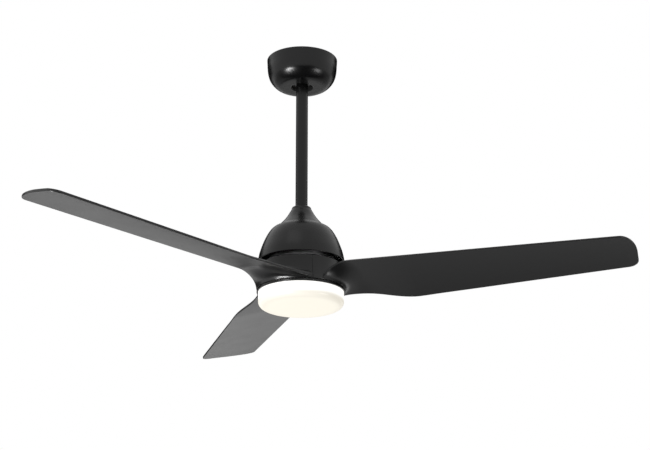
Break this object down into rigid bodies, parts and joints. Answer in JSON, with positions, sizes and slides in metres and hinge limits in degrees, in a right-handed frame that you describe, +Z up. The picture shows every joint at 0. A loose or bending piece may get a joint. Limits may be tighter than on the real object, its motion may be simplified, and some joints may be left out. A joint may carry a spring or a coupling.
{
  "type": "ceiling fan with light",
  "caption": "Black ceiling fan with swept moulded blades on a downrod from a round canopy, and a round opal light below the hub.",
  "frame": {"origin": "centre of the ceiling plate's two slotted screw holes, on the ceiling plane and on the fan's axis", "axes": "+Z up towards the ceiling, along the downrod; +X along blade 1 and along the ceiling plate"},
  "size_m": [1.0744, 1.2226, 0.5537],
  "materials": {
    "satin_black": "satin black paint",
    "black_plastic": "satin black moulded plastic",
    "opal_plastic": "opal white, lit from inside",
    "zinc_steel": "zinc plated",
    "bearing_steel": "ground",
    "cast_metal": "cast",
    "aluminium": "die cast",
    "ball_plastic": "moulded",
    "white_plastic": "moulded",
    "board_green": "circuit board",
    "lamination_steel": "stacked sheet",
    "insulator_plastic": "moulded",
    "winding_copper": "enamelled copper wire",
    "ferrite": "sintered",
    "led_yellow": "phosphor",
    "cable_sheath": "sheathed"
  },
  "bodies": {
    "ceiling_side": {"mounting_bracket": "zinc_steel", "canopy": "satin_black", "canopy_screws": "satin_black", "earth_screw": "zinc_steel", "receiver_case": "white_plastic", "receiver_lid": "white_plastic", "receiver_board": "board_green"},
    "hanger_pin": {"hanger_pin": "zinc_steel"},
    "drop_assembly": {"hanger_ball": "ball_plastic", "ball_set_screw": "zinc_steel", "downrod": "satin_black", "yoke": "cast_metal", "clevis_pin": "zinc_steel", "cotter_clip": "zinc_steel", "yoke_set_screws": "zinc_steel", "neck_cover": "satin_black", "motor_housing": "satin_black", "housing_screws": "zinc_steel", "motor_shaft": "bearing_steel", "shaft_locknut": "zinc_steel", "stator_carrier": "cast_metal", "stator_core": "lamination_steel", "stator_insulators": "insulator_plastic", "stator_windings": "winding_copper", "sensor_board": "board_green", "shaft_circlips": "zinc_steel", "upper_inner_race": "bearing_steel", "lower_inner_race": "bearing_steel", "light_pan": "zinc_steel", "light_pan_nut": "zinc_steel", "light_trim_ring": "satin_black", "light_screws": "zinc_steel", "led_board": "aluminium", "led_chips": "led_yellow", "led_driver": "white_plastic", "diffuser": "opal_plastic", "rod_cable": "cable_sheath", "light_lead": "cable_sheath"},
    "rotor": {"rotor_shell_upper": "aluminium", "rotor_shell_lower": "aluminium", "rotor_bolts": "zinc_steel", "rotor_flux_ring": "lamination_steel", "rotor_magnets": "ferrite", "upper_outer_race": "bearing_steel", "lower_outer_race": "bearing_steel", "blade_1": "black_plastic", "blade_2": "black_plastic", "blade_3": "black_plastic", "blade_screws": "zinc_steel"},
    "upper_ball_set": {"upper_bearing_balls": "bearing_steel", "upper_bearing_cage": "bearing_steel"},
    "lower_ball_set": {"lower_bearing_balls": "bearing_steel", "lower_bearing_cage": "bearing_steel"}
  },
  "joints": [
    {"name": "swing_x", "type": "hinge", "parent": "ceiling_side", "child": "hanger_pin", "pos_m": [0, 0, -0.033], "axis": [1, 0, 0], "range_deg": [-10, 10]},
    {"name": "swing_y", "type": "hinge", "parent": "hanger_pin", "child": "drop_assembly", "pos_m": [0, 0, -0.033], "axis": [0, 1, 0], "range_deg": [-10, 10]},
    {"name": "rotor_spin", "type": "hinge", "parent": "drop_assembly", "child": "rotor", "pos_m": [0, 0, -0.4553], "axis": [0, 0, 1], "continuous": true},
    {"name": "upper_bearing_spin", "type": "hinge", "parent": "drop_assembly", "child": "upper_ball_set", "pos_m": [0, 0, -0.4393], "axis": [0, 0, 1], "continuous": true},
    {"name": "lower_bearing_spin", "type": "hinge", "parent": "drop_assembly", "child": "lower_ball_set", "pos_m": [0, 0, -0.4743], "axis": [0, 0, 1], "continuous": true}
  ],
  "couplings": [
    {"joint": "upper_bearing_spin", "follows": "rotor_spin", "ratio": 0.6182},
    {"joint": "lower_bearing_spin", "follows": "rotor_spin", "ratio": 0.6182}
  ]
}
